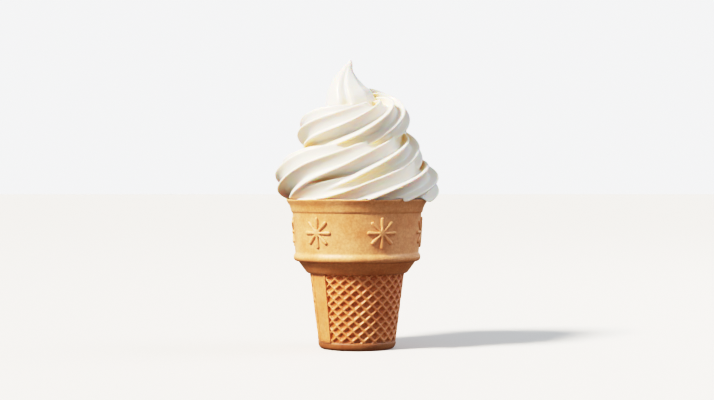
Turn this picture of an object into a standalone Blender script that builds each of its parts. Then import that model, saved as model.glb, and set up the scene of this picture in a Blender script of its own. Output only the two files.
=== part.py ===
"""Soft serve ice cream in a flat-bottomed wafer cup, standing on its base.

Metres, +Z up, the middle of the base at the world origin, the front towards -Y. Two nodes:
wafer_cup, the baked cup with its lattice, its bead, its stars and its flared lip, and
soft_serve, the fluted rope of ice cream wound three times round and pulled up to a point.
"""

import math

import bmesh
import bpy
from mathutils import Matrix, Vector

MM = 0.001
GAP = 0.3  # mm of air kept between the ice cream and the wafer

LATHE_STEPS = 48
COLUMNS, ROWS = 26, 6  # cells of the lattice round the cup and up it
LATTICE_LOW, LATTICE_HIGH = (16.05, 3.8), (19.3, 30.5)  # radius, height of the ribs' tops
PIT_DEPTH, RIB_WIDTH = 0.85, 0.55
PANEL_START = -69.2  # degrees from the front, to the right, of the plain panel's left edge
PANEL_COLUMNS = (0, 1, 13, 14)  # counted from there: the panel and its twin opposite

CUP_OUTER = (
    (0.0, 0.0), (14.4, 0.0), (15.3, 0.4), (15.7, 1.5), (16.0, 3.7), (14.9, 4.4),
    (18.1, 30.0), (19.4, 30.7), (20.8, 31.3), (21.7, 32.5), (23.3, 34.5), (23.9, 35.6),
    (25.3, 35.9), (26.1, 37.4), (25.7, 38.7), (25.4, 39.3), (26.5, 55.6), (27.0, 56.2),
    (27.6, 58.2), (28.6, 59.7), (29.1, 60.7), (28.8, 61.2),
)
CUP_INNER = (
    (27.5, 61.2), (25.9, 58.2), (24.8, 55.6), (23.6, 39.3), (21.6, 35.0),
    (17.0, 30.4), (13.4, 4.4), (12.2, 2.4), (0.0, 2.4),
)

BAND = ((25.4, 39.3), (26.5, 55.6))  # radius, height of its lower and upper edge

STARS, RAYS = 6, 8
FIRST_STAR, STAR_HEIGHT, STAR_RAISED = 22.5, 47.7, 0.6
HUB_RADIUS, RAY_LENGTH = 1.1, 6.4
RAY_OUTLINE = ((4.2, 0.75), (5.8, 0.68))  # mm from the hub's middle, half width of a ray

CRESTS = 9
# mm of rope radius at each share of the way from one crest up to the next
FLUTE = ((0.0, 1.0), (0.24, 0.67), (0.64, 0.82))
# The rope's route: degrees round from the front, sideways shift, reach from the axis, height,
# radius of the rope and the turn of its flutes about its own line.
ROUTE = (
    (-90, 0.0, 14.0, 58.5, 8.5, -62),
    (-45, 0.0, 17.2, 60.6, 9.6, -24),
    (0, 0.0, 18.9, 62.6, 10.0, 12),
    (90, 0.0, 23.5, 67.0, 10.8, 84),
    (180, -0.5, 23.0, 71.0, 11.0, 175),
    (270, -1.0, 22.5, 72.0, 10.9, 265),
    (360, -0.5, 20.0, 73.6, 10.5, 345),
    (450, 0.0, 17.0, 78.5, 10.2, 425),
    (540, 0.0, 15.5, 85.5, 10.2, 506),
    (630, -0.3, 14.3, 88.5, 10.2, 586),
    (720, 0.0, 12.5, 89.5, 10.0, 666),
    (810, 0.2, 11.8, 93.5, 9.9, 746),
    (900, 0.0, 8.5, 99.0, 9.8, 826),
    (960, -0.8, 5.0, 101.0, 9.2, 880),
)
ROUTE_STEP = 15
# The pulled-up point: height, sideways shift, radius and turn of the flutes.
POINT = (
    (93.0, -0.6, 9.4, 0),
    (98.0, -1.4, 10.6, 20),
    (103.0, -2.5, 10.4, 40),
    (107.5, -3.4, 8.3, 58),
    (111.5, -3.9, 5.0, 72),
    (115.0, -3.1, 2.0, 82),
    (118.2, -2.5, 0.3, 86),
)
# What fills the cup and the middle of the swirl, trimmed later to clear the wafer.
CORE = (
    (0.0, 2.0), (27.5, 2.0), (27.9, 60.5), (24.5, 61.4), (20.0, 66.0), (19.5, 74.0), (17.6, 86.0),
    (15.0, 92.8), (6.0, 101.0), (0.0, 102.0),
)


def band_radius(height):
    """The outer radius of the band that carries the stars."""
    (low_radius, low), (high_radius, high) = BAND
    return low_radius + (height - low) * (high_radius - low_radius) / (high - low)


def clear_scene():
    for old in list(bpy.data.objects):
        bpy.data.objects.remove(old, do_unlink=True)


def new_collection(name, for_cutters=False):
    collection = bpy.data.collections.new(name)
    bpy.context.scene.collection.children.link(collection)
    collection.hide_render = for_cutters
    return collection


def new_object(name, data, collection):
    obj = bpy.data.objects.new(name, data)
    collection.objects.link(obj)
    return obj


def bake(obj):
    """Puts the evaluated shape of the object in a plain mesh, welded and facing out."""
    graph = bpy.context.evaluated_depsgraph_get()
    mesh = bpy.data.meshes.new_from_object(obj.evaluated_get(graph))
    shape = bmesh.new()
    shape.from_mesh(mesh)
    bmesh.ops.remove_doubles(shape, verts=shape.verts, dist=0.002 * MM)
    bmesh.ops.recalc_face_normals(shape, faces=shape.faces)
    shape.to_mesh(mesh)
    shape.free()
    if obj.type == "MESH":
        obj.modifiers.clear()
        obj.data = mesh
        return obj
    name, collection = obj.name, obj.users_collection[0]
    bpy.data.objects.remove(obj)
    return new_object(name, mesh, collection)


def lathe(name, outline, collection, steps=LATHE_STEPS):
    """A closed solid turned from an outline of (radius, height) that starts and ends on the axis."""
    mesh = bpy.data.meshes.new(name)
    edges = [(i, i + 1) for i in range(len(outline) - 1)]
    mesh.from_pydata([(r * MM, 0, z * MM) for r, z in outline], edges, [])
    obj = new_object(name, mesh, collection)
    screw = obj.modifiers.new("turned", "SCREW")
    screw.axis = "Z"
    screw.angle = math.tau
    screw.steps = screw.render_steps = steps
    screw.use_merge_vertices = True
    screw.merge_threshold = 1e-5
    return bake(obj)


def lattice_sleeve(name, collection):
    """The waffled ring: diamond pits between thin ribs, with two plain panels."""
    bpy.ops.mesh.primitive_cone_add(
        vertices=COLUMNS,
        radius1=LATTICE_LOW[0] * MM,
        radius2=LATTICE_HIGH[0] * MM,
        depth=(LATTICE_HIGH[1] - LATTICE_LOW[1]) * MM,
        end_fill_type="NOTHING",
        location=(0, 0, (LATTICE_HIGH[1] + LATTICE_LOW[1]) / 2 * MM),
    )
    obj = bpy.context.object
    obj.name = obj.data.name = name
    for old in obj.users_collection:
        old.objects.unlink(obj)
    collection.objects.link(obj)
    obj.data.transform(obj.matrix_world)
    obj.matrix_world.identity()

    def column(place):
        """The column, counted from the plain panel, that a face or edge's middle is in."""
        degrees = math.degrees(math.atan2(place.x, -place.y)) - PANEL_START
        return degrees % 360 * COLUMNS / 360

    shape = bmesh.new()
    shape.from_mesh(obj.data)
    shape.verts.ensure_lookup_table()
    aside = math.radians(PANEL_START) - math.atan2(shape.verts[0].co.x, -shape.verts[0].co.y)
    bmesh.ops.rotate(shape, verts=shape.verts, matrix=Matrix.Rotation(aside, 3, "Z"))
    uprights = [e for e in shape.edges if abs(e.verts[0].co.z - e.verts[1].co.z) > MM]
    bmesh.ops.subdivide_edges(shape, edges=uprights, cuts=ROWS - 1)
    waffled = [f for f in shape.faces if int(column(f.calc_center_median())) not in PANEL_COLUMNS]
    inside = [e for e in shape.edges if all(f in waffled for f in e.link_faces) and not e.is_boundary]
    bmesh.ops.poke(shape, faces=waffled)
    bmesh.ops.dissolve_edges(shape, edges=inside, use_verts=False)
    pits = [f for f in shape.faces if int(column(f.calc_center_median())) not in PANEL_COLUMNS]
    bmesh.ops.recalc_face_normals(shape, faces=shape.faces)
    bmesh.ops.inset_individual(
        shape, faces=pits, thickness=RIB_WIDTH * MM, depth=-PIT_DEPTH * MM, use_even_offset=True
    )
    rims = [e for e in shape.edges if e.is_boundary]
    back = bmesh.ops.extrude_edge_only(shape, edges=rims)["geom"]
    for vert in (v for v in back if isinstance(v, bmesh.types.BMVert)):
        flat = Vector((vert.co.x, vert.co.y, 0))
        vert.co -= flat.normalized() * 2.4 * MM
    inner = [e for e in shape.edges if e.is_boundary]
    bmesh.ops.bridge_loops(shape, edges=inner)
    bmesh.ops.recalc_face_normals(shape, faces=shape.faces)
    bmesh.ops.triangulate(shape, faces=[f for f in shape.faces if len(f.verts) > 4])
    shape.to_mesh(obj.data)
    shape.free()
    return obj


def star(name, azimuth, collection):
    """An eight-ray star, bent round the band and sunk a little into it."""
    shape = bmesh.new()
    step = math.tau / RAYS

    def spot(along, aside, slant):
        across = along * math.cos(slant) - aside * math.sin(slant)
        return shape.verts.new((across, 0, along * math.sin(slant) + aside * math.cos(slant)))

    hub = [spot(HUB_RADIUS, 0, (ray + 0.5) * step) for ray in range(RAYS)]
    shape.faces.new(hub)
    for ray in range(RAYS):
        right, left = hub[ray - 1], hub[ray]
        for along, wide in RAY_OUTLINE:
            next_right, next_left = spot(along, -wide, ray * step), spot(along, wide, ray * step)
            shape.faces.new((right, next_right, next_left, left))
            right, left = next_right, next_left
        shape.faces.new((right, spot(RAY_LENGTH, 0, ray * step), left))
    grown = bmesh.ops.extrude_face_region(shape, geom=list(shape.faces))["geom"]
    tops = {v for v in grown if isinstance(v, bmesh.types.BMVert)}
    middle = band_radius(STAR_HEIGHT)
    for vert in shape.verts:
        across, up = vert.co.x, vert.co.z
        end_drop = 0.15 if math.hypot(across, up) > RAY_OUTLINE[-1][0] else 0.0
        rise = STAR_RAISED - end_drop if vert in tops else -0.6
        radius = band_radius(STAR_HEIGHT + up) + rise
        turn = math.radians(azimuth) + across / middle
        vert.co = Vector((radius * math.sin(turn), -radius * math.cos(turn), STAR_HEIGHT + up)) * MM
    bmesh.ops.recalc_face_normals(shape, faces=shape.faces)
    mesh = bpy.data.meshes.new(name)
    shape.to_mesh(mesh)
    shape.free()
    return new_object(name, mesh, collection)


def through(stations, column, at):
    """The value of one column of the stations at this place, on a smooth curve through them all."""
    places = [row[0] for row in stations]
    values = [row[column] for row in stations]
    last = len(places) - 1
    i = max(j for j in range(last) if j == 0 or places[j] <= at)

    def slope(j):
        a, b = max(j - 1, 0), min(j + 1, last)
        return (values[b] - values[a]) / (places[b] - places[a])

    span = places[i + 1] - places[i]
    t = (at - places[i]) / span
    return (
        (2 * t**3 - 3 * t**2 + 1) * values[i]
        + (t**3 - 2 * t**2 + t) * span * slope(i)
        + (3 * t**2 - 2 * t**3) * values[i + 1]
        + (t**3 - t**2) * span * slope(i + 1)
    )


def flute_profile(collection):
    """The star-shaped section of the rope, 1 mm in radius, as a closed curve to bevel with."""
    curve = bpy.data.curves.new("flute_profile", "CURVE")
    spline = curve.splines.new("POLY")
    spline.points.add(CRESTS * len(FLUTE) - 1)
    for crest in range(CRESTS):
        for j, (share, size) in enumerate(FLUTE):
            angle = (crest + share) * math.tau / CRESTS
            spot = (size * math.cos(angle) * MM, size * math.sin(angle) * MM, 0, 1)
            spline.points[crest * len(FLUTE) + j].co = spot
    spline.use_cyclic_u = True
    return new_object("flute_profile", curve, collection)


def rope(name, line, profile, collection):
    """A fluted rope along a line of (point, radius, tilt)."""
    curve = bpy.data.curves.new(name, "CURVE")
    curve.dimensions = "3D"
    curve.twist_mode = "MINIMUM"
    curve.bevel_mode = "OBJECT"
    curve.bevel_object = profile
    curve.use_fill_caps = True
    spline = curve.splines.new("POLY")
    spline.points.add(len(line) - 1)
    for point, (place, radius, tilt) in zip(spline.points, line):
        point.co = (*(place * MM), 1)
        point.radius = radius
        point.tilt = -math.radians(tilt)  # positive raises the outer flutes along the rope
    return bake(new_object(name, curve, collection))


def swirl_line():
    line = []
    for turn in range(ROUTE[0][0], ROUTE[-1][0] + 1, ROUTE_STEP):
        shift, reach, height, radius, tilt = (through(ROUTE, k, turn) for k in range(1, 6))
        angle = math.radians(turn)
        place = Vector((reach * math.sin(angle) + shift, -reach * math.cos(angle), height))
        line.append((place, radius, tilt))
    return line


def point_line():
    heights = [93, 96, 99, 102, 105, 107.5, 110, 112, 114, 116, 118.2]
    return [
        (Vector((through(POINT, 1, z), 0, z)), through(POINT, 2, z), through(POINT, 3, z))
        for z in heights
    ]


def join(target, pieces, solver):
    """Joins everything in the collection of pieces to the target, then drops the pieces."""
    union = target.modifiers.new("joined", "BOOLEAN")
    union.operation = "UNION"
    union.operand_type = "COLLECTION"
    union.collection = pieces
    union.solver = solver
    if solver == "EXACT":
        union.use_self = True
    result = bake(target)
    for piece in list(pieces.objects):
        bpy.data.objects.remove(piece)
    bpy.data.collections.remove(pieces)
    return result


def material(obj, name, colour, roughness):
    made = bpy.data.materials.new(name)
    made.use_nodes = True
    shader = made.node_tree.nodes["Principled BSDF"]
    shader.inputs["Base Color"].default_value = (*colour, 1)
    shader.inputs["Roughness"].default_value = roughness
    made.diffuse_color = (*colour, 1)
    obj.data.materials.clear()
    obj.data.materials.append(made)


def main():
    clear_scene()
    parts = new_collection("soft_serve_cone")
    cutters = new_collection("cutters", for_cutters=True)

    pieces = new_collection("cup_pieces", for_cutters=True)
    cup = lathe("wafer_cup", CUP_OUTER + CUP_INNER, parts)
    lattice_sleeve("lattice", pieces)
    for i in range(STARS):
        star(f"star_{i}", FIRST_STAR + i * 360 / STARS, pieces)
    cup = join(cup, pieces, "MANIFOLD")
    material(cup, "baked_wafer", (0.72, 0.42, 0.19), 0.65)

    pieces = new_collection("swirl_pieces", for_cutters=True)
    profile = flute_profile(cutters)
    serve = lathe("soft_serve", CORE, parts)
    rope("swirl", swirl_line(), profile, pieces)
    rope("point", point_line(), profile, pieces)
    serve = join(serve, pieces, "EXACT")
    bpy.data.objects.remove(profile)

    wall = [(r - GAP, z) for r, z in CUP_INNER[:-2]]
    clearance = [(wall[0][0], 61.2 + GAP)] + wall[1:] + [(12.2 - GAP, 2.4 + GAP), (0.0, 2.4 + GAP)]
    outside = [(0.0, -2.0), (40.0, -2.0), (40.0, 59.7), (30.6, 60.1), (29.1 + GAP, 61.2 + GAP)]
    cutter = lathe("cup_clearance", outside + clearance, cutters)
    cutter.display_type = "WIRE"
    cut = serve.modifiers.new("cup_cut", "BOOLEAN")
    cut.operation = "DIFFERENCE"
    cut.object = cutter
    cut.solver = "EXACT"
    material(serve, "vanilla_soft_serve", (0.93, 0.9, 0.83), 0.45)


main()
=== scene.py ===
"""A soft serve cone: a flat-bottomed wafer cup with a fluted swirl of vanilla ice cream."""

import math

import bpy
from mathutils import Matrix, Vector
from mathutils.bvhtree import BVHTree


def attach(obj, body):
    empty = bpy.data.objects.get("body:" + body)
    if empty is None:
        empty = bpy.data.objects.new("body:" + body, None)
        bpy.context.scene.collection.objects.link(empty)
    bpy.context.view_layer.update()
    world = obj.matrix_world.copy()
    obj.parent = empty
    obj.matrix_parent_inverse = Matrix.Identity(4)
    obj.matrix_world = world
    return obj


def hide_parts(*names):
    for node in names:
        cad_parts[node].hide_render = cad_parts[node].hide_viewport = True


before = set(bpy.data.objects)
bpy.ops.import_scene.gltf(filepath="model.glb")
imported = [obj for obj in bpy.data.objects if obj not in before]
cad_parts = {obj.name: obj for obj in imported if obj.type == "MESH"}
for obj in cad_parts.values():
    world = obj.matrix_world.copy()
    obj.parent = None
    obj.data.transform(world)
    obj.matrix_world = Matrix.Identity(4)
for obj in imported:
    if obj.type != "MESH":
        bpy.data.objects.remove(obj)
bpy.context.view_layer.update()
scene = bpy.context.scene

# THE WAFER CUP'S TURNED SHELL
# A thin biscuit shell, baked in a closed iron mould from a poured batter. It has a plain foot,
# a narrow body, a rolled bead under a tall band, and a lip that flares out round the mouth.
MM = 0.001
SHELL_SIDES = 208
CUP_OUTSIDE = (  # radius, height in mm, from the base up to the rim
    (13.9, 0.0), (14.7, 0.12), (15.25, 0.45), (15.65, 1.0), (15.85, 1.7), (15.95, 2.3),
    (15.97, 2.85), (15.8, 3.15), (14.9, 3.6), (18.1, 30.0), (18.9, 30.55), (19.4, 30.75),
    (20.1, 30.85), (20.7, 31.15), (21.2, 31.8), (21.8, 32.6), (23.1, 34.3), (23.7, 35.2),
    (23.95, 35.6), (24.3, 35.75), (24.9, 35.8), (25.55, 36.1), (25.95, 36.7), (26.1, 37.4),
    (26.0, 38.1), (25.75, 38.65), (25.5, 38.95), (25.38, 39.25), (25.4, 39.8), (25.9, 47.5),
    (26.45, 55.2), (26.55, 55.6), (26.85, 55.85), (27.05, 56.3), (27.3, 57.3), (27.65, 58.3),
    (28.15, 59.2), (28.65, 60.0), (28.95, 60.6), (29.05, 60.95), (28.95, 61.13), (28.7, 61.2),
)
CUP_INSIDE = (  # from the rim down to the floor
    (27.9, 61.2), (27.45, 61.1), (27.2, 60.7), (26.6, 59.6), (25.9, 58.1), (25.2, 56.4),
    (24.8, 55.4), (23.6, 39.3), (23.0, 37.2), (21.6, 35.0), (19.0, 32.3), (17.4, 31.0),
    (17.0, 30.0), (13.5, 4.4), (13.1, 3.2), (12.2, 2.5), (6.0, 2.4),
)
RAGGED_FROM, RAGGED = 59.8, 0.2  # mm up, where the rim starts to dip, and the middle dip
RAGGED_WAVES = ((5, 0.11, 0.6), (13, 0.06, 2.0), (29, 0.03, 0.0))  # waves round, mm, start


def pick(piece):
    """Makes this the only selected object, and the active one."""
    if bpy.context.object and bpy.context.object.mode != "OBJECT":
        bpy.ops.object.mode_set(mode="OBJECT")
    bpy.ops.object.select_all(action="DESELECT")
    piece.select_set(True)
    bpy.context.view_layer.objects.active = piece


def open_for_edit(piece, element="VERT"):
    pick(piece)
    bpy.ops.object.mode_set(mode="EDIT")
    bpy.ops.mesh.select_mode(type=element)


def close_edit():
    bpy.ops.object.mode_set(mode="OBJECT")


def place_in_mesh(piece):
    """Puts the object's place, turn and size in its mesh, so that it sits at the origin."""
    pick(piece)
    bpy.ops.object.transform_apply(location=True, rotation=True, scale=True)


def apply_modifiers(piece):
    pick(piece)
    for modifier in list(piece.modifiers):
        bpy.ops.object.modifier_apply(modifier=modifier.name)


def face_out(piece):
    open_for_edit(piece)
    bpy.ops.mesh.select_all(action="SELECT")
    bpy.ops.mesh.normals_make_consistent(inside=False)
    close_edit()
    bpy.ops.object.shade_smooth_by_angle(angle=math.radians(50))


def join_pieces(first, *others):
    pick(first)
    for piece in others:
        piece.select_set(True)
    bpy.ops.object.join()
    return first


def turned(name, outline, sides=SHELL_SIDES):
    """A round solid: a disc, raised ring by ring through each (radius, height) in mm."""
    radius, height = outline[0]
    bpy.ops.object.select_all(action="DESELECT")
    bpy.ops.mesh.primitive_circle_add(
        vertices=sides, radius=radius * MM, fill_type="NGON", location=(0, 0, height * MM)
    )
    piece = bpy.context.object
    piece.name = piece.data.name = name
    place_in_mesh(piece)
    open_for_edit(piece)
    bpy.ops.mesh.select_all(action="SELECT")
    for (r0, z0), (r1, z1) in zip(outline, outline[1:]):
        bpy.ops.mesh.extrude_region_move(TRANSFORM_OT_translate={"value": (0, 0, (z1 - z0) * MM)})
        bpy.ops.transform.resize(value=(r1 / r0, r1 / r0, 1), center_override=(0, 0, z1 * MM))
    face_out(piece)
    return piece


def round_from_front(point):
    return math.atan2(point[0], -point[1])


cup_shell = turned("wafer_shell", CUP_OUTSIDE + CUP_INSIDE)
# The rim came out of the iron a little ragged, so it dips here and there by up to 0.4 mm.
for vertex in cup_shell.data.vertices:
    share = max(0.0, vertex.co.z / MM - RAGGED_FROM) / (CUP_OUTSIDE[-1][1] - RAGGED_FROM)
    around = round_from_front(vertex.co)
    dip = RAGGED + sum(size * math.sin(n * around + start) for n, size, start in RAGGED_WAVES)
    vertex.co.z -= share * dip * MM

# THE WAFFLED BODY
# The narrow lower body, waffled by the mould: thin raised ribs cross on the slant and leave
# diamond pits. A plain panel in a narrow frame covers each of the two mould seams.
COLUMNS, ROWS = 24, 7
RIBS_LOW, RIBS_HIGH = (15.76, 1.66), (19.5, 31.4)  # radius, height at the ribs' tops, mm
CELL_WIDTH = 4.67  # mm: the cells keep their width, though the body widens upwards
HALF_MIDDLE = 35.0  # degrees round from the front to the middle of a mould half
HALF_REACH = 85.0  # degrees each way from there, past which the panels hide the cells
INSETS = ((0.25, 0.0), (0.4, -0.72), (0.22, -0.1))  # mm in from the ribs, mm deeper
LONG_EDGE = 0.98  # mm: longer ones lie along a rib
WAFFLE_WALL = 0.88  # the waffle's back, as a share of its radius
PANEL_SIDES, PANEL_WIDTH = 104, 8  # faces to a turn, and faces across a panel
WIDENING = (RIBS_HIGH[0] - RIBS_LOW[0]) / (RIBS_HIGH[1] - RIBS_LOW[1])
PANEL_FOOT, PANEL_PROUD, PANEL_THICKNESS = 2.9, 0.36, 1.4
FRAME_WIDTH, FRAME_SLOPE, FRAME_HEIGHT = 0.8, 0.15, 0.34

bpy.ops.object.select_all(action="DESELECT")
bpy.ops.mesh.primitive_cone_add(
    vertices=COLUMNS,
    radius1=RIBS_LOW[0] * MM,
    radius2=RIBS_HIGH[0] * MM,
    depth=(RIBS_HIGH[1] - RIBS_LOW[1]) * MM,
    end_fill_type="NOTHING",
    location=(0, 0, (RIBS_HIGH[1] + RIBS_LOW[1]) / 2 * MM),
)
waffle = bpy.context.object
waffle.name = "wafer_waffle"
place_in_mesh(waffle)


def turn_corner_to(piece, degrees):
    """Turns the piece about the upright axis until its first corner is this far from the front."""
    corner = piece.data.vertices[0].co
    piece.rotation_euler.z = math.radians(degrees) - round_from_front(corner)
    place_in_mesh(piece)


turn_corner_to(waffle, HALF_MIDDLE)


def select_where(piece, element, wanted):
    """Selects the faces or edges that wanted() says yes to, and stays in edit mode."""
    open_for_edit(piece, element)
    bpy.ops.mesh.select_all(action="DESELECT")
    close_edit()
    for item in piece.data.polygons if element == "FACE" else piece.data.edges:
        item.select = wanted(item)
    bpy.ops.object.mode_set(mode="EDIT")


def ends(edge):
    return [waffle.data.vertices[i].co for i in edge.vertices]


select_where(waffle, "EDGE", lambda edge: abs(ends(edge)[0].z - ends(edge)[1].z) > MM)
bpy.ops.mesh.subdivide(number_cuts=ROWS - 1)
bpy.ops.mesh.select_all(action="SELECT")
bpy.ops.mesh.poke()
close_edit()
faces_at = {}
for face in waffle.data.polygons:
    for key in face.edge_keys:
        faces_at.setdefault(key, []).append(len(face.vertices))


def old_grid(edge):
    """An edge of the first grid, upright or level, with cells on both sides."""
    a, b = ends(edge)
    square = abs(a.z - b.z) < 1e-6 or abs(round_from_front(a) - round_from_front(b)) < 1e-3
    return square and len(faces_at[edge.key]) == 2


select_where(waffle, "EDGE", old_grid)
bpy.ops.mesh.dissolve_edges(use_verts=False, use_face_split=False)
close_edit()
for vertex in waffle.data.vertices:
    z = vertex.co.z / MM
    radius = RIBS_LOW[0] + WIDENING * (z - RIBS_LOW[1])
    away = math.degrees(round_from_front(vertex.co)) - HALF_MIDDLE
    side = (away + 90) % 360 - 90
    middle, side = (HALF_MIDDLE, side) if side < 90.1 else (HALF_MIDDLE + 180, side - 180)
    if abs(side) < HALF_REACH:
        side *= CELL_WIDTH / radius / (math.tau / COLUMNS)
    turn = math.radians(middle + side)
    vertex.co = Vector((radius * math.sin(turn), -radius * math.cos(turn), z)) * MM
open_for_edit(waffle, "FACE")
bpy.ops.mesh.select_all(action="SELECT")
bpy.ops.mesh.normals_make_consistent(inside=False)
for width, depth in INSETS:
    bpy.ops.mesh.inset(
        thickness=width * MM, depth=depth * MM, use_individual=True, use_even_offset=True
    )
# The edges along the ribs are cut in three, which keeps the pits' corners when they soften.
select_where(waffle, "EDGE", lambda edge: (ends(edge)[0] - ends(edge)[1]).length > LONG_EDGE * MM)
bpy.ops.mesh.subdivide(number_cuts=2)
close_edit()
baked = waffle.modifiers.new("baked_soft", "SUBSURF")
baked.levels = baked.render_levels = 1
apply_modifiers(waffle)
open_for_edit(waffle, "EDGE")
bpy.ops.mesh.select_all(action="DESELECT")
bpy.ops.mesh.select_non_manifold(extend=False, use_wire=False, use_multi_face=False)
bpy.ops.mesh.extrude_region_move(TRANSFORM_OT_translate={"value": (0, 0, 0)})
bpy.ops.transform.resize(value=(WAFFLE_WALL, WAFFLE_WALL, 1), center_override=(0, 0, 0))
bpy.ops.mesh.bridge_edge_loops()
face_out(waffle)

bpy.ops.object.select_all(action="DESELECT")
bpy.ops.mesh.primitive_cone_add(
    vertices=PANEL_SIDES,
    radius1=(RIBS_LOW[0] + WIDENING * (PANEL_FOOT - RIBS_LOW[1]) + PANEL_PROUD) * MM,
    radius2=(RIBS_HIGH[0] + PANEL_PROUD) * MM,
    depth=(RIBS_HIGH[1] - PANEL_FOOT) * MM,
    end_fill_type="NOTHING",
    location=(0, 0, (RIBS_HIGH[1] + PANEL_FOOT) / 2 * MM),
)
panels = bpy.context.object
panels.name = "wafer_panels"
place_in_mesh(panels)
turn_corner_to(panels, HALF_MIDDLE + 90)


def off_panel(face):
    seam = (math.degrees(round_from_front(face.center)) - HALF_MIDDLE) % 180 - 90
    return abs(seam) > PANEL_WIDTH / 2 * 360 / PANEL_SIDES


select_where(panels, "FACE", off_panel)
bpy.ops.mesh.delete(type="FACE")
bpy.ops.mesh.select_all(action="SELECT")
bpy.ops.mesh.normals_make_consistent(inside=False)
bpy.ops.mesh.inset(thickness=FRAME_WIDTH * MM, depth=0)
bpy.ops.mesh.inset(thickness=FRAME_SLOPE * MM, depth=-FRAME_HEIGHT * MM)
bpy.ops.mesh.select_all(action="SELECT")
bpy.ops.mesh.extrude_region_shrink_fatten(
    TRANSFORM_OT_shrink_fatten={"value": -PANEL_THICKNESS * MM, "use_even_offset": True}
)
face_out(panels)
cup = join_pieces(cup_shell, waffle, panels)
cup.name = cup.data.name = "baked_wafer_cup"


def linear(hex_colour):
    """A #RRGGBB colour of the screen as linear RGBA."""
    parts = [int(hex_colour[i : i + 2], 16) / 255 for i in (1, 3, 5)]
    return [p / 12.92 if p <= 0.04045 else ((p + 0.055) / 1.055) ** 2.4 for p in parts] + [1.0]


def add_node(tree, kind, links=(), steps=(), **settings):
    """A node with its settings, its links as (input, source socket), and a ramp's steps."""
    node = tree.nodes.new(kind)
    for key, value in settings.items():
        if hasattr(node, key):
            setattr(node, key, value)
        else:
            node.inputs[key.replace("_", " ")].default_value = value
    for name, source in links:
        tree.links.new(source, node.inputs[name])
    for number, (place, colour) in enumerate(steps):
        elements = node.color_ramp.elements
        element = elements[number] if number < 2 else elements.new(place)
        element.position = place
        element.color = linear(colour)
    return node


def new_material(name):
    material = bpy.data.materials.new(name)
    material.use_nodes = True
    material.node_tree.nodes.clear()
    return material, material.node_tree


# Baked wafer: a dry, matte biscuit. Burst batter bubbles leave pores, and pale specks of half
# a millimetre. The iron browns it unevenly, over patches of a centimetre. The pits, the foot and
# the shoulder under the bead are darkened with painted shade.
PATCH, GRAIN, PORE, GRIT = 9.0, 0.9, 1.6, 0.5  # mm across
PATCH_TONES = ((0.32, "#EAD4BE"), (0.5, "#F5EEE6"), (0.7, "#FFFFFF"))
GRAIN_TONES = ((0.3, "#D8BEA6"), (0.45, "#EAE0D4"), (0.55, "#F2ECE4"), (0.62, "#FFFFFF"))
# Painted shade in the pits, darkest at their bottoms.
PIT_PAINTED_SHADE_TONES = ((0.0, "#FFFFFF"), (1.0, "#E2BE8C"))
# Tone by height: darker at the foot and at the shoulder under the bead as painted shade, lighter
# on the band.
HEIGHT_TONES_AND_PAINTED_SHADE = (  # share of the cup's height, from the foot up to the band
    (0.0, "#9A6236"), (0.052, "#A46A3C"), (0.075, "#DC9862"), (0.47, "#E29C66"),
    (0.53, "#D8925C"), (0.58, "#D8925C"), (0.62, "#EBB07C"),
)
wafer, tree = new_material("baked_wafer_biscuit")
where = add_node(tree, "ShaderNodeTexCoord").outputs["Object"]
patches = add_node(
    tree, "ShaderNodeTexNoise", [("Vector", where)], Scale=1 / (PATCH * MM), Detail=4.0
)
blotched = add_node(
    tree, "ShaderNodeValToRGB", [("Fac", patches.outputs["Fac"])], steps=PATCH_TONES
)
up = add_node(tree, "ShaderNodeSeparateXYZ", [("Vector", where)]).outputs["Z"]
height = add_node(tree, "ShaderNodeMapRange", [("Value", up)], From_Max=0.061)
# Painted shade at the foot and the shoulder, from the height ramp, multiplied into the patches.
baked = add_node(
    tree, "ShaderNodeValToRGB", [("Fac", height.outputs["Result"])], steps=HEIGHT_TONES_AND_PAINTED_SHADE
)
browned_and_painted_shade = add_node(
    tree,
    "ShaderNodeMix",
    [(6, baked.outputs["Color"]), (7, blotched.outputs["Color"])],
    data_type="RGBA",
    blend_type="MULTIPLY",
    Factor=1.0,
)
grain = add_node(
    tree, "ShaderNodeTexNoise", [("Vector", where)], Scale=1 / (GRAIN * MM), Detail=4.0
)
speckled = add_node(
    tree, "ShaderNodeValToRGB", [("Fac", grain.outputs["Fac"])], steps=GRAIN_TONES
)
toned = add_node(
    tree,
    "ShaderNodeMix",
    [(6, browned_and_painted_shade.outputs[2]), (7, speckled.outputs["Color"])],
    data_type="RGBA",
    blend_type="MULTIPLY",
    Factor=0.6,
)
# How far the surface lies under the ribs' tops, which is most in the pits: it paints shade there.
sideways = add_node(tree, "ShaderNodeVectorMath", [("Vector", where)], operation="MULTIPLY")
sideways.inputs[1].default_value = (1.0, 1.0, 0.0)
from_axis = add_node(
    tree, "ShaderNodeVectorMath", [("Vector", sideways.outputs["Vector"])], operation="LENGTH"
)
ribs_there = add_node(
    tree,
    "ShaderNodeMapRange",
    [("Value", up)],
    From_Min=RIBS_LOW[1] * MM,
    From_Max=RIBS_HIGH[1] * MM,
    To_Min=RIBS_LOW[0] * MM,
    To_Max=RIBS_HIGH[0] * MM,
)
sunk = add_node(
    tree,
    "ShaderNodeMath",
    [(0, ribs_there.outputs["Result"]), (1, from_axis.outputs["Value"])],
    operation="SUBTRACT",
)
deep = add_node(
    tree,
    "ShaderNodeMapRange",
    [("Value", sunk.outputs["Value"])],
    From_Min=0.15 * MM,
    From_Max=0.8 * MM,
    To_Min=0.0,
    To_Max=1.0,
)
painted_pit_shade = add_node(tree, "ShaderNodeValToRGB", [("Fac", deep.outputs["Result"])], steps=PIT_PAINTED_SHADE_TONES)
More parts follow.
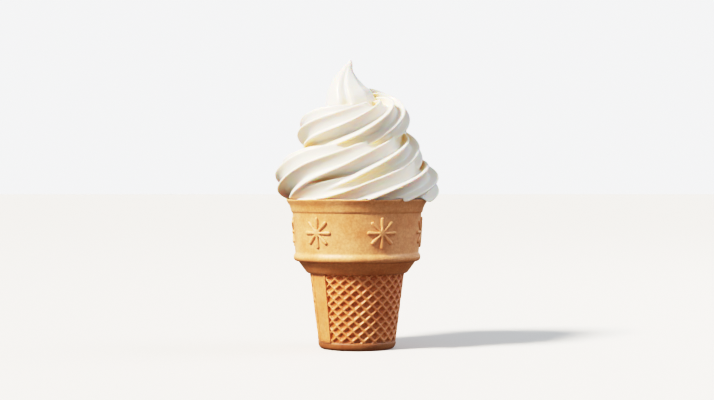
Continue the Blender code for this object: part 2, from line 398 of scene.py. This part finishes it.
# The pits' painted shade is multiplied into the biscuit's colour.
with_painted_pit_shade = add_node(
    tree,
    "ShaderNodeMix",
    [(6, toned.outputs[2]), (7, painted_pit_shade.outputs["Color"])],
    data_type="RGBA",
    blend_type="MULTIPLY",
    Factor=1.0,
)
pores = add_node(
    tree, "ShaderNodeTexVoronoi", [("Vector", where)], Scale=1 / (PORE * MM), Randomness=1.0
)
pits = add_node(
    tree,
    "ShaderNodeMapRange",
    [("Value", pores.outputs["Distance"])],
    From_Min=0.08,
    From_Max=0.3,
    To_Min=0.0,
    To_Max=1.0,
)
rough = add_node(
    tree, "ShaderNodeTexNoise", [("Vector", where)], Scale=1 / (GRIT * MM), Detail=3.0
)
porous = add_node(
    tree, "ShaderNodeBump", [("Height", pits.outputs["Result"])], Strength=0.14, Distance=0.12 * MM
)
gritty = add_node(
    tree,
    "ShaderNodeBump",
    [("Height", rough.outputs["Fac"]), ("Normal", porous.outputs["Normal"])],
    Strength=0.35,
    Distance=0.22 * MM,
)
biscuit = add_node(
    tree,
    "ShaderNodeBsdfPrincipled",
    [("Base Color", with_painted_pit_shade.outputs[2]), ("Normal", gritty.outputs["Normal"])],
    Roughness=0.5,
)
biscuit.inputs["Specular IOR Level"].default_value = 0.6
biscuit.inputs["Subsurface Weight"].default_value = 0.25
biscuit.inputs["Subsurface Radius"].default_value = (1.0, 0.5, 0.22)
biscuit.inputs["Subsurface Scale"].default_value = 1.2 * MM
add_node(tree, "ShaderNodeOutputMaterial", [("Surface", biscuit.outputs["BSDF"])])

cup.data.materials.clear()
cup.data.materials.append(wafer)
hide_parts("wafer_cup")
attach(cup, "root")

# THE STARS ON THE BAND
# Six eight-rayed stars, cut into the iron so that the batter fills them: they stand proud of
# the band by most of a millimetre, with rays that widen outwards and are round on top.
STARS, RAYS = 6, 8
FIRST_STAR, STAR_HEIGHT, STAR_RAISED, STAR_SUNK = 22.5, 47.7, 0.76, 0.4
HUB_RADIUS = 1.2
RAY_STEPS = ((2.4, 0.62), (4.2, 0.84), (5.5, 0.88), (6.3, 0.6))  # mm out, half width
BAND_RADIUS, BAND_SLOPE = 25.97, 0.0675  # at the stars' height, and mm out for each mm up
NEAR = 0.02  # mm

bpy.ops.object.select_all(action="DESELECT")
bpy.ops.mesh.primitive_circle_add(vertices=RAYS, radius=HUB_RADIUS * MM, fill_type="NGON")
flat_star = bpy.context.object
flat_star.name = "wafer_stars"
flat_star.rotation_euler.z = math.pi / RAYS
place_in_mesh(flat_star)
for ray in range(RAYS):
    slant = ray * math.tau / RAYS
    outwards = Vector((math.cos(slant), math.sin(slant), 0))
    side = HUB_RADIUS * math.sin(math.pi / RAYS)
    reach = HUB_RADIUS * math.cos(math.pi / RAYS)
    select_where(
        flat_star,
        "EDGE",
        lambda edge: all(
            abs(flat_star.data.vertices[i].co.dot(outwards) - reach * MM) < NEAR * MM
            for i in edge.vertices
        ),
    )
    for out, half in RAY_STEPS:
        bpy.ops.mesh.extrude_region_move(
            TRANSFORM_OT_translate={"value": outwards * (out - reach) * MM}
        )
        bpy.ops.transform.resize(value=(half / side,) * 3, center_override=outwards * out * MM)
        reach, side = out, half
open_for_edit(flat_star)
bpy.ops.mesh.select_all(action="SELECT")
bpy.ops.mesh.extrude_region_move(
    TRANSFORM_OT_translate={"value": (0, 0, (STAR_RAISED + STAR_SUNK) * MM)}
)
select_where(
    flat_star,
    "EDGE",
    lambda edge: all(flat_star.data.vertices[i].co.z < NEAR * MM for i in edge.vertices),
)
bpy.ops.transform.edge_crease(value=1.0)
close_edit()
rounded = flat_star.modifiers.new("rounded_top", "SUBSURF")
rounded.levels = rounded.render_levels = 2
apply_modifiers(flat_star)
stars = []
for number in range(STARS):
    star = flat_star.copy()
    star.data = flat_star.data.copy()
    scene.collection.objects.link(star)
    middle = math.radians(FIRST_STAR + number * 360 / STARS)
    for vertex in star.data.vertices:
        across, up, out = vertex.co / MM
        radius = BAND_RADIUS + BAND_SLOPE * up + out - STAR_SUNK
        turn = middle + across / BAND_RADIUS
        vertex.co = Vector((radius * math.sin(turn), -radius * math.cos(turn), up)) * MM
        vertex.co.z += STAR_HEIGHT * MM
    stars.append(star)
bpy.data.objects.remove(flat_star)
stars = join_pieces(*stars)
stars.name = stars.data.name = "wafer_stars"
face_out(stars)
stars.data.materials.clear()
stars.data.materials.append(wafer)
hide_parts("wafer_cup")
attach(stars, "root")

# THE SOFT SERVE
# Vanilla ice cream, whipped with air and let out of a nine-pointed nozzle while the cup turns
# under it: three turns of one fluted rope, the last pulled up to a point that leans over.
CRESTS = 9
# The nozzle's outline between two crests: share of the way up to the next, share of the radius.
FLUTE = (
    (0.0, 1.0), (0.05, 0.99), (0.09, 0.94), (0.14, 0.81), (0.19, 0.69), (0.25, 0.66),
    (0.35, 0.665), (0.5, 0.69), (0.64, 0.735), (0.77, 0.8), (0.86, 0.88), (0.92, 0.96),
    (0.95, 0.985),
)
# Degrees round from the front, shift to the right, reach, height, rope radius, flutes' turn.
ROUTE = (
    (-90, 0.0, 17.6, 60.6, 9.8, -62),
    (-45, 0.0, 18.8, 62.2, 10.5, -24),
    (0, 0.0, 19.6, 62.6, 10.0, 12),
    (90, 0.0, 23.5, 67.0, 10.8, 84),
    (180, -0.5, 23.0, 69.3, 11.0, 177),
    (270, -1.0, 21.8, 69.4, 11.2, 268),
    (315, -0.8, 19.8, 72.2, 10.9, 304),
    (360, -0.5, 17.3, 73.6, 10.5, 345),
    (450, 0.0, 17.0, 78.5, 10.2, 425),
    (540, 0.0, 15.5, 85.5, 10.2, 506),
    (630, -0.3, 14.3, 88.5, 10.2, 586),
    (720, 0.0, 12.5, 89.5, 10.2, 654),
    (810, 0.2, 11.8, 93.5, 9.9, 742),
    (900, 0.0, 8.5, 99.0, 9.8, 826),
    (960, -0.8, 5.0, 101.0, 8.4, 880),
)
# The pulled-up point: height, shift to the right, radius. Its flutes have run together, but for
# a few folds: degrees round from the front, and share of the radius.
POINT = (
    (93.0, -1.5, 9.8),
    (98.0, -2.6, 10.6),
    (102.0, -3.5, 10.2),
    (105.8, -4.4, 8.4),
    (110.0, -4.6, 5.8),
    (114.0, -4.0, 2.8),
    (116.4, -3.0, 1.4),
    (118.25, -2.5, 0.6),
)
FOLDS = (
    (3, 1.0), (12, 1.0), (45, 0.98), (85, 1.0), (92, 0.97), (103, 0.85), (112, 0.88), (126, 1.0),
    (160, 0.98), (186, 1.0), (193, 0.97), (204, 0.85), (213, 0.88), (228, 1.0), (262, 0.98),
    (300, 0.99), (330, 1.0), (338, 0.99), (345, 0.92), (351, 0.83), (356, 0.79), (359, 0.82),
    (361.5, 0.95),
)
TURN_STEP, POINT_STEPS = 2.5, 50  # degrees between the rope's stations, and steps up the point
CORE = (  # the cream that fills the middle of the coils: radius, height
    (12.0, 56.0), (27.5, 56.0), (27.9, 60.5), (25.5, 61.6), (22.5, 66.0), (20.8, 76.0),
    (19.0, 85.0), (15.0, 92.8), (6.0, 101.0), (2.0, 102.0),
)
CUP_ROOM = (  # what the cup keeps clear of ice cream
    (5.0, 48.0), (45.0, 48.0), (45.0, 59.6), (31.0, 59.9), (29.5, 60.8), (29.2, 61.4),
    (27.6, 61.45), (27.0, 60.9), (25.6, 58.1), (24.5, 55.5), (24.2, 50.0), (5.0, 50.0),
)
PLUG = (  # and what fills the cup
    (8.0, 2.7), (11.9, 2.8), (13.1, 4.5), (16.7, 30.2), (21.3, 35.2), (23.3, 39.4),
    (24.5, 55.5), (25.2, 57.2), (12.0, 57.4),
)


def through(stations, column, at):
    """The value of one column of the stations at this place, on a smooth curve through all."""
    places = [row[0] for row in stations]
    values = [row[column] for row in stations]
    last = len(places) - 1
    i = max(j for j in range(last) if j == 0 or places[j] <= at)

    def slope(j):
        a, b = max(j - 1, 0), min(j + 1, last)
        return (values[b] - values[a]) / (places[b] - places[a])

    span = places[i + 1] - places[i]
    t = (at - places[i]) / span
    return (
        (2 * t**3 - 3 * t**2 + 1) * values[i]
        + (t**3 - 2 * t**2 + t) * span * slope(i)
        + (3 * t**2 - 2 * t**3) * values[i + 1]
        + (t**3 - t**2) * span * slope(i + 1)
    )


def section(name, spots):
    """A rope's section, 1 mm in radius, as a closed line through (degrees, size)."""
    curve = bpy.data.curves.new(name, "CURVE")
    edge = curve.splines.new("POLY")
    edge.points.add(len(spots) - 1)
    edge.use_cyclic_u = True
    for point, (degrees, size) in zip(edge.points, spots):
        a = math.radians(degrees)
        point.co = (size * math.cos(a) * MM, size * math.sin(a) * MM, 0, 1)
    piece = bpy.data.objects.new(name, curve)
    scene.collection.objects.link(piece)
    return piece


def piped(name, line, nozzle):
    """A rope let out of the nozzle along a line of (place in mm, radius, turn of the flutes)."""
    route = bpy.data.curves.new(name, "CURVE")
    route.dimensions = "3D"
    route.twist_mode = "MINIMUM"
    route.bevel_mode = "OBJECT"
    route.bevel_object = nozzle
    route.use_fill_caps = True
    spline = route.splines.new("POLY")
    spline.points.add(len(line) - 1)
    for point, (place, radius, turn) in zip(spline.points, line):
        point.co = (*(place * MM), 1)
        point.radius = radius
        point.tilt = -math.radians(turn)
    piece = bpy.data.objects.new(name, route)
    scene.collection.objects.link(piece)
    pick(piece)
    bpy.ops.object.convert(target="MESH")
    open_for_edit(piece)
    bpy.ops.mesh.select_all(action="SELECT")
    bpy.ops.mesh.remove_doubles(threshold=1e-6)
    face_out(piece)
    return piece


coils = []
turn = ROUTE[0][0]
while turn <= ROUTE[-1][0]:
    shift, reach, height, radius, flutes = (through(ROUTE, k, turn) for k in range(1, 6))
    a = math.radians(turn)
    place = Vector((reach * math.sin(a) + shift, -reach * math.cos(a), height))
    coils.append((place, radius, flutes))
    turn += TURN_STEP
nozzle = section(
    "nozzle", [((n + share) * 360 / CRESTS, size) for n in range(CRESTS) for share, size in FLUTE]
)
swirl = piped("vanilla_swirl", coils, nozzle)
rise = (POINT[-1][0] - POINT[0][0]) / POINT_STEPS
heights = [POINT[0][0] + i * rise for i in range(POINT_STEPS + 1)]
folded = section("folds", [(180 - degrees, size) for degrees, size in FOLDS])
peak = piped(
    "pulled_point",
    [(Vector((through(POINT, 1, z), 0, z)), through(POINT, 2, z), 0) for z in heights],
    folded,
)
bpy.data.objects.remove(folded)
core = turned("cream_core", CORE, sides=96)
bpy.data.objects.remove(nozzle)
swirl = join_pieces(swirl, peak, core)


def run_together(piece, grain_size):
    """Makes one skin of everything in the piece, as the soft cream runs together."""
    skin = piece.modifiers.new("one_skin", "REMESH")
    skin.mode = "VOXEL"
    skin.voxel_size = grain_size * MM
    skin.use_smooth_shade = True
    apply_modifiers(piece)


run_together(swirl, 0.32)
room = turned("cup_room", CUP_ROOM, sides=160)
cut = swirl.modifiers.new("clear_of_cup", "BOOLEAN")
cut.operation = "DIFFERENCE"
cut.solver = "MANIFOLD"
cut.object = room
apply_modifiers(swirl)
bpy.data.objects.remove(room)
run_together(swirl, 0.3)
settle = swirl.modifiers.new("settled", "SMOOTH")
settle.factor = 0.5
settle.iterations = 3
lighter = swirl.modifiers.new("fewer_faces", "DECIMATE")
lighter.ratio = 0.34
apply_modifiers(swirl)
plug = turned("cream_plug", PLUG, sides=64)
swirl = join_pieces(swirl, plug)
swirl.name = swirl.data.name = "vanilla_soft_serve_swirl"
pick(swirl)
bpy.ops.object.shade_smooth()

# Each point keeps how much of what it faces is cream within a few millimetres: near 1 in a
# crease, 0 on a crest. The cream's colour uses it to paint shade and a warm glow into the creases.
NEARBY, WAYS, LEAST_FACING = 6.0, 40, 0.15  # mm, directions looked in, and how square they are
CLEAR_OF_SKIN = 0.05  # mm
SPREADS = 4
ways = []
for n in range(WAYS):
    rise, turn = 1 - (2 * n + 1) / WAYS, n * math.pi * (3 - math.sqrt(5))
    flat = math.sqrt(1 - rise * rise)
    ways.append(Vector((flat * math.cos(turn), flat * math.sin(turn), rise)))
skin = swirl.data
inside = BVHTree.FromPolygons([v.co for v in skin.vertices], [p.vertices for p in skin.polygons])
depth = []
for vertex in skin.vertices:
    start, seen, blocked = vertex.co + vertex.normal * CLEAR_OF_SKIN * MM, 0.001, 0.0
    for way in ways:
        facing = way.dot(vertex.normal)
        if facing > LEAST_FACING:
            seen += facing
            if inside.ray_cast(start, way, NEARBY * MM)[0] is not None:
                blocked += facing
    depth.append(blocked / seen)
for _ in range(SPREADS):
    spread, parts = list(depth), [1] * len(depth)
    for edge in skin.edges:
        a, b = edge.vertices
        spread[a] += depth[b]
        spread[b] += depth[a]
        parts[a] += 1
        parts[b] += 1
    depth = [total / count for total, count in zip(spread, parts)]
skin.attributes.new("crease_occlusion", "FLOAT", "POINT").data.foreach_set("value", depth)

# Vanilla ice cream: milk fat and air. Light goes in and comes out nearby. The deep creases are
# painted darker and yellow, as painted shade and a painted warm glow, while the crests stay white.
CREASE_PAINTED_SHADE_TONES = ((0.25, "#E3DFD5"), (0.48, "#E8DEC8"), (0.7, "#EED8AC"), (0.92, "#EBC890"))
WAVE, CRYSTAL = 4.0, 0.6  # mm across
cream, tree = new_material("vanilla_soft_serve_cream")
where = add_node(tree, "ShaderNodeTexCoord").outputs["Object"]
creases = add_node(tree, "ShaderNodeAttribute", attribute_name="crease_occlusion")
# Painted shade and warm glow in the creases, from how enclosed each point is.
painted_crease_shade = add_node(
    tree, "ShaderNodeValToRGB", [("Fac", creases.outputs["Fac"])], steps=CREASE_PAINTED_SHADE_TONES
)
waves = add_node(
    tree, "ShaderNodeTexNoise", [("Vector", where)], Scale=1 / (WAVE * MM), Detail=3.0
)
crystals = add_node(
    tree, "ShaderNodeTexNoise", [("Vector", where)], Scale=1 / (CRYSTAL * MM), Detail=2.0
)
drawn = add_node(
    tree, "ShaderNodeBump", [("Height", waves.outputs["Fac"])], Strength=0.2, Distance=0.3 * MM
)
frosted = add_node(
    tree,
    "ShaderNodeBump",
    [("Height", crystals.outputs["Fac"]), ("Normal", drawn.outputs["Normal"])],
    Strength=0.08,
    Distance=0.1 * MM,
)
milk = add_node(
    tree,
    "ShaderNodeBsdfPrincipled",
    [("Base Color", painted_crease_shade.outputs["Color"]), ("Normal", frosted.outputs["Normal"])],
    Roughness=0.36,
)
milk.inputs["Specular IOR Level"].default_value = 0.35
milk.inputs["Subsurface Weight"].default_value = 1.0
milk.inputs["Subsurface Radius"].default_value = (1.0, 0.62, 0.3)
milk.inputs["Subsurface Scale"].default_value = 1.8 * MM
add_node(tree, "ShaderNodeOutputMaterial", [("Surface", milk.outputs["BSDF"])])

swirl.data.materials.clear()
swirl.data.materials.append(cream)
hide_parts("soft_serve")
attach(swirl, "root")

# THE FLOOR, THE LIGHT AND THE CAMERA
# A plain pale floor in a white room: a broad key light high on the left, a cool soft box on the
# right, a bright band of wall round the horizon, and a camera just above the cup's rim.
FLOOR_SIZE = 30.0  # m
AIM = Vector((0, 0, 0.07))
KEY_FROM, SIDE_FROM = (-56, 42), (98, 42)  # degrees to the right of the camera, and up
SIDE_DISTANCE, SIDE_SIZE = 1.2, 0.6  # m
WALL_TONES = (  # from just under the horizon, up to the ceiling
    (0.15, "#584A3E"), (0.16, "#FCFDFF"), (0.29, "#FCFDFF"), (0.4, "#747678"), (1.0, "#747678"),
)
FILM = (  # light, and how bright it shows
    (0.01, 0.02), (0.033, 0.08), (0.067, 0.185), (0.1, 0.3), (0.2, 0.56), (0.3, 0.71),
    (0.433, 0.82), (0.667, 0.91),
)

bpy.ops.object.select_all(action="DESELECT")
bpy.ops.mesh.primitive_plane_add(size=FLOOR_SIZE)
floor = bpy.context.object
floor.name = "pale_floor"
paint, tree = new_material("matte_pale_floor")
matte = add_node(tree, "ShaderNodeBsdfPrincipled", Roughness=0.9)
matte.inputs["Base Color"].default_value = linear("#EDE9E2")
add_node(tree, "ShaderNodeOutputMaterial", [("Surface", matte.outputs["BSDF"])])
floor.data.materials.append(paint)
floor.visible_diffuse = False
floor.visible_glossy = False


def hang(lamp, azimuth, elevation, distance):
    """Hangs a lamp aimed at the cone, from degrees to the right of the camera and up."""
    a, e = math.radians(azimuth), math.radians(elevation)
    away = Vector((math.sin(a) * math.cos(e), -math.cos(a) * math.cos(e), math.sin(e)))
    holder = bpy.data.objects.new(lamp.name, lamp)
    holder.location = AIM + away * distance
    holder.rotation_euler = away.to_track_quat("Z", "Y").to_euler()
    scene.collection.objects.link(holder)


key = bpy.data.lights.new("key", "SUN")
key.energy = 9.0
key.angle = math.radians(12)
key.color = linear("#FFF8EE")[:3]
hang(key, *KEY_FROM, SIDE_DISTANCE)
side_box = bpy.data.lights.new("cool_side", "AREA")
side_box.energy = 7.0
side_box.size = SIDE_SIZE
side_box.color = linear("#DCEBFF")[:3]
hang(side_box, *SIDE_FROM, SIDE_DISTANCE)
room = bpy.data.worlds.new("white_room")
scene.world = room
room.use_nodes = True
tree = room.node_tree
tree.nodes.clear()
towards = add_node(tree, "ShaderNodeTexCoord").outputs["Generated"]
parts = add_node(tree, "ShaderNodeSeparateXYZ", [("Vector", towards)])
rise = add_node(
    tree,
    "ShaderNodeMapRange",
    [("Value", parts.outputs["Z"])],
    From_Min=-0.2,
    From_Max=1.0,
    To_Min=0.0,
    To_Max=1.0,
)
glow = add_node(tree, "ShaderNodeValToRGB", [("Fac", rise.outputs["Result"])], steps=WALL_TONES)
walls = add_node(tree, "ShaderNodeBackground", [("Color", glow.outputs["Color"])], Strength=2.0)
add_node(tree, "ShaderNodeOutputWorld", [("Surface", walls.outputs["Background"])])
scene.view_settings.view_transform = "Standard"
scene.view_settings.use_curve_mapping = True
film = scene.view_settings.curve_mapping
film.white_level = (3.0, 3.0, 3.0)
for light, shown in FILM:
    film.curves[3].points.new(light, shown)
film.update()

lens = bpy.data.cameras.new("camera")
lens.sensor_width = 36.0
lens.lens = 73.6
camera = bpy.data.objects.new("camera", lens)
camera.location = (0, -0.6, 0.0656)
camera.rotation_euler = (math.radians(90 - 0.47), 0, 0)
scene.collection.objects.link(camera)
scene.camera = camera
